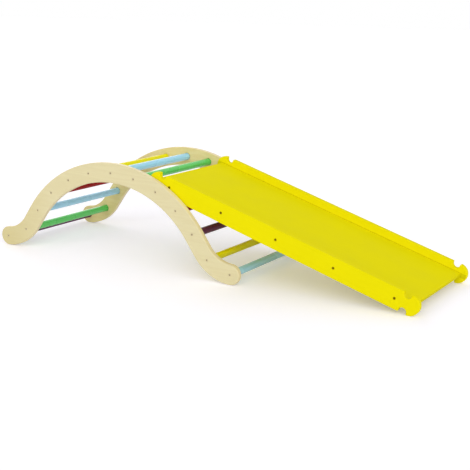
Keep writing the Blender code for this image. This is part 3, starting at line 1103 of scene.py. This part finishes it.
    def build(self) -> None:
        """Builds and dresses the boards, the deck, the battens and the screws."""
        home = self.frame()
        # The boards' paint carries a line of painted shade along the joint with the deck
        board_paint = PaintedWood(
            "enamel_on_plywood_board", "ramp_paint", plies_across=Axis.Y, joint=self.deck / 2
        )
        deck_paint = PaintedWood(
            "enamel_on_plywood_deck", "ramp_paint",
            plies_across=Axis.Z, thickness=self.deck, plies=9, thirst=0.14,
        )
        batten_paint = PaintedWood("enamel_on_batten", "ramp_paint", grain=Axis.Y)
        # Its sockets are darkened with painted shade
        steel = PlatedSteel(
            "chromated_screw_steel", "screw_steel", plating="#9b860e", worn="#ab9616", socket="#52430a"
        )
        add_piece("deck_plate", self.deck_mesh(), home, deck_paint, Body.RAMP, "ramp_deck")
        batten = self.batten_mesh()
        drop = -self.deck / 2 - FIT_GAP
        for index, x in enumerate(evenly(self.battens, self.batten_pitch), start=1):
            place = home @ Matrix.Translation((x, 0, drop))
            add_piece(f"grip_batten_{index}", batten, place, batten_paint, Body.RAMP, f"ramp_batten_{index}")
        board = self.board_mesh()
        screw = self.screw.mesh()
        for side in Side:
            offset = side.value * (self.width - self.board) / 2
            place = home @ Matrix.Translation((0, offset, 0)) @ side.turn
            label = f"board_{side.label}"
            add_piece(f"hooked_{label}", board, place, board_paint, Body.RAMP, f"ramp_{label}")
            face = side.value * (self.width / 2 - FIT_GAP)
            for index, x in enumerate(self.screw_places(), start=1):
                socket = Matrix.Rotation(self.key_turn * index + side.value, 4, "Y")
                place = home @ Matrix.Translation((x, face, 0)) @ side.turn @ socket
                label = f"screw_{side.label}_{index}"
                add_piece(f"board_{label}", screw, place, steel, Body.RAMP, f"ramp_{label}")


@dataclass(frozen=True)
class LightBank:
    """A bank of softboxes so wide and far away that it lights the whole floor evenly.

    Attributes:
        name: Name of the lamp.
        azimuth: Where it stands, in degrees: 0 is in front, at -Y, and 90 to the right, at +X.
        elevation: Its height over the horizon, in degrees.
        spread: Angle that it fills, in degrees; the wider, the softer its shadows.
        strength: Light that falls square on a surface, where pi makes white paper white.
    """

    name: str
    azimuth: float
    elevation: float
    spread: float
    strength: float

    def build(self) -> None:
        """Hangs the lamp and turns it to the set."""
        lamp = bpy.data.lights.new(self.name, "SUN")
        lamp.angle = radians(self.spread)
        lamp.energy = self.strength
        round_set = Matrix.Rotation(radians(self.azimuth), 4, "Z")
        tilt = Matrix.Rotation(QUARTER_TURN - radians(self.elevation), 4, "X")
        stand(self.name, lamp).matrix_world = round_set @ tilt


@dataclass(frozen=True)
class Studio:
    """A white cove: a pale floor that keeps the shadow, soft light and a white surrounding.

    Attributes:
        paper: sRGB colour of the floor paper.
        fibres: sRGB colour of its palest fibres.
        lift: Brightness that the floor has in the camera's eye above what the lamps give it.
        ambient: Strength of the surrounding light.
        floor_reach: Half the length of the floor's sides.
        banks: The lamps.
    """

    paper: str = "#f4f1f7"
    fibres: str = "#f8f6fb"
    lift: float = 0.21
    ambient: float = 0.556
    floor_reach: float = 30.0
    banks: tuple[LightBank, ...] = (
        LightBank("front", 15.0, 20.0, 60.0, 1.055),
        LightBank("right", 60.0, 20.0, 60.0, 0.98),
        LightBank("left", -120.0, 20.0, 60.0, 1.08),
    )

    @staticmethod
    def seen_share(add: NodeMaker) -> Node:
        """Tells what is seen, straight on or in a mirror or glass, from what only gets light.

        Args:
            add: Adds a node to the tree.

        Returns:
            The node that gives one for what is seen, else zero.
        """
        rays = add("LightPath").outputs
        mirrored = add(
            "Math", {0: rays["Is Glossy Ray"], 1: rays["Is Transmission Ray"]}, operation="MAXIMUM"
        )
        return add("Math", {0: rays["Is Camera Ray"], 1: mirrored}, operation="MAXIMUM")

    def floor_material(self) -> Material:
        """Makes white studio paper, very matt, with a faint fibre mottle; clear from below.

        Returns:
            The floor's material.
        """
        made = bpy.data.materials.new("studio_paper")
        made.use_nodes = True
        nodes = made.node_tree.nodes
        add = partial(add_node, made.node_tree)
        # Paper fibres gather in flecks about 4 mm wide
        fibres = stretched_noise(add, add("TexCoord").outputs["Object"], (4, 4, 4), detail=2.0)
        colour = add("Mix", {0: fibres, "A": self.paper, "B": self.fibres}, data_type="RGBA")
        shader = nodes["Principled BSDF"]
        fill(shader, {"Base Color": colour, "Roughness": 0.95, "Specular IOR Level": 0.1})
        strength = add("Math", {0: self.seen_share(add), 1: self.lift}, operation="MULTIPLY")
        lit = add("AddShader", {0: shader, 1: add("Emission", {"Strength": strength})})
        below = add("NewGeometry").outputs["Backfacing"]
        seen = add("MixShader", {0: below, 1: lit, 2: add("BsdfTransparent")})
        fill(nodes["Material Output"], {"Surface": seen})
        return made

    def build(self) -> None:
        """Lays the floor, sets the surrounding and hangs the lamps."""
        reach = self.floor_reach
        mesh = bpy.data.meshes.new("floor")
        corners = [(-reach, -reach, 0), (reach, -reach, 0), (reach, reach, 0), (-reach, reach, 0)]
        mesh.from_pydata(corners, [], [(0, 1, 2, 3)])
        mesh.materials.append(self.floor_material())
        floor = stand("floor", mesh)
        world = bpy.data.worlds.new("white_surrounding")
        world.use_nodes = True
        world.node_tree.nodes.clear()
        add = partial(add_node, world.node_tree)
        surround, backdrop = (
            add("Background", {"Color": "#ffffff", "Strength": strength})
            for strength in (self.ambient, 1.0)
        )
        both = add("MixShader", {0: self.seen_share(add), 1: surround, 2: backdrop})
        add("OutputWorld", {"Surface": both})
        bpy.context.scene.world = world
        for lamp in self.banks:
            lamp.build()
        bpy.context.scene.view_settings.view_transform = "Standard"


@dataclass(frozen=True)
class PhotoCamera:
    """The camera that took the photograph.

    Attributes:
        place: Where it stands, in the row frame.
        yaw: Angle of its view from +Y towards +X.
        pitch: Angle of its view below the horizon.
        roll: Its roll.
        focal: Focal length in pixels of the picture.
        picture: Width of the picture in pixels.
    """

    place: tuple[float, float, float] = (1.72865, -2.77991, 0.86808)
    yaw: float = -0.54319
    pitch: float = 0.23232
    roll: float = 0.01598
    focal: float = 990.9003
    picture: float = 470.0

    def build(self) -> None:
        """Makes the scene's camera."""
        lens = bpy.data.cameras.new("photo_camera")
        lens.lens = lens.sensor_width * self.focal / self.picture
        view = Matrix.Translation(self.place)
        for angle, axis in ((-self.yaw, "Z"), (QUARTER_TURN - self.pitch, "X"), (self.roll, "Z")):
            view @= Matrix.Rotation(angle, 4, axis)
        camera = stand("photo_camera", lens)
        camera.matrix_world = view
        bpy.context.scene.camera = camera


def main() -> None:
    """Builds the arch, the ramp, the studio and the camera."""
    logging.basicConfig(level=logging.INFO, format="%(name)s: %(message)s")
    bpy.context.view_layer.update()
    arch = ClimbingArch()
    for part in (arch, Ramp(arch), Studio(), PhotoCamera()):
        part.build()


if __name__ == "__main__":
    main()
